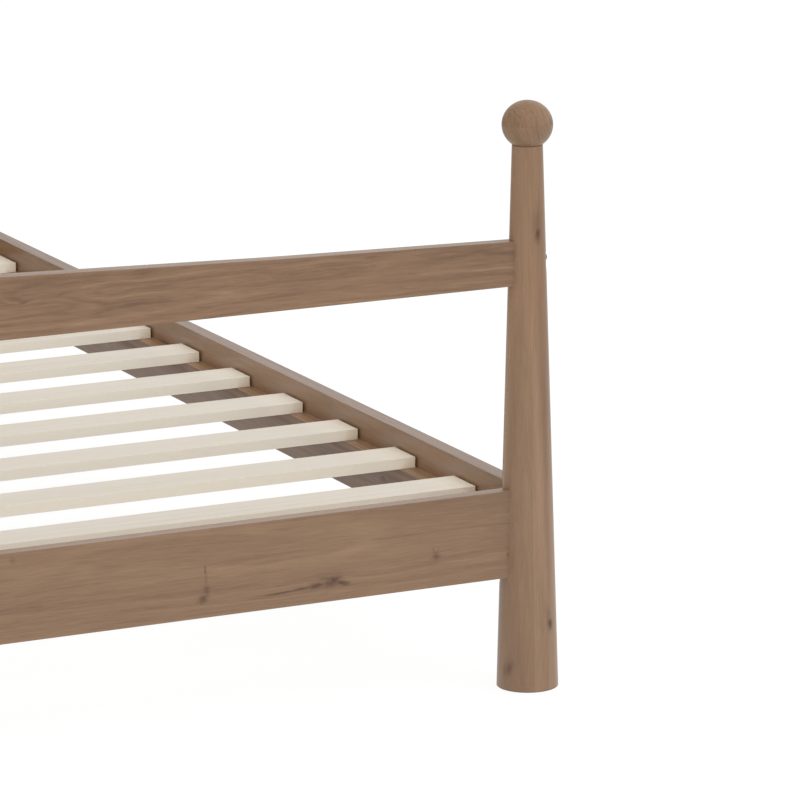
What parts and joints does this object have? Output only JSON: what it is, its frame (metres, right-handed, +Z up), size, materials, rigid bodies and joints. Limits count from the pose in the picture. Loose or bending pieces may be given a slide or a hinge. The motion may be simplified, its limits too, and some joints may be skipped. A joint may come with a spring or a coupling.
{
  "type": "four poster bed",
  "caption": "Low four poster bed with cone posts, ball finials, arched end rails, panelled headboard, slat base on side ledges and a centre support beam.",
  "frame": {"origin": "on the floor, at the middle of the footprint", "axes": "+Z up, +Y from the foot end to the head end, +X to the right seen from the foot end"},
  "size_m": [2.0594, 2.1906, 1.1632],
  "materials": {
    "post_wood": "matt oiled brown oak, grain along the post",
    "rail_wood": "matt oiled brown oak with knots, grain along the board",
    "panel_wood": "matt oiled brown oak veneer, grain across the bed",
    "support_wood": "plain sawn brown wood, light seal",
    "slat_wood": "planed pale softwood, unfinished",
    "dowel_wood": "plain beech",
    "steel": "zinc plated",
    "brass": "machined",
    "black_plastic": "matt moulded",
    "felt": "dense felt"
  },
  "bodies": {
    "root": {"foot_post_left": "post_wood", "foot_post_right": "post_wood", "head_post_left": "post_wood", "head_post_right": "post_wood", "foot_finial_left": "post_wood", "foot_finial_right": "post_wood", "head_finial_left": "post_wood", "head_finial_right": "post_wood", "foot_lower_rail": "rail_wood", "foot_upper_rail": "rail_wood", "head_lower_rail": "rail_wood", "head_mid_rail": "rail_wood", "head_top_rail": "rail_wood", "headboard_panel": "panel_wood", "side_rail_left": "rail_wood", "side_rail_right": "rail_wood", "slat_ledge_left": "support_wood", "slat_ledge_right": "support_wood", "slat_01": "slat_wood", "slat_02": "slat_wood", "slat_03": "slat_wood", "slat_04": "slat_wood", "slat_05": "slat_wood", "slat_06": "slat_wood", "slat_07": "slat_wood", "slat_08": "slat_wood", "slat_09": "slat_wood", "slat_10": "slat_wood", "center_beam": "support_wood", "beam_hanger_foot": "steel", "beam_hanger_head": "steel", "center_leg_front": "support_wood", "center_leg_middle": "support_wood", "center_leg_rear": "support_wood", "leg_inserts": "brass", "leg_studs": "steel", "finial_dowels": "dowel_wood", "foot_rail_dowels": "dowel_wood", "head_rail_dowels": "dowel_wood", "upper_rail_bolts": "steel", "barrel_nuts": "steel", "bolt_caps": "post_wood", "hook_plates": "steel", "slot_plates": "steel", "hook_plate_screws": "steel", "slot_plate_screws": "steel", "hanger_screws": "steel", "slat_pins": "dowel_wood", "post_glides": "felt"},
    "leveller_front": {"leveller_front": "black_plastic"},
    "leveller_middle": {"leveller_middle": "black_plastic"},
    "leveller_rear": {"leveller_rear": "black_plastic"}
  },
  "joints": [
    {"name": "leveller_front_screw", "type": "slide", "parent": "root", "child": "leveller_front", "axis": [0, 0, 1], "range_m": [0, 0.012]},
    {"name": "leveller_middle_screw", "type": "slide", "parent": "root", "child": "leveller_middle", "axis": [0, 0, 1], "range_m": [0, 0.012]},
    {"name": "leveller_rear_screw", "type": "slide", "parent": "root", "child": "leveller_rear", "axis": [0, 0, 1], "range_m": [0, 0.012]}
  ]
}
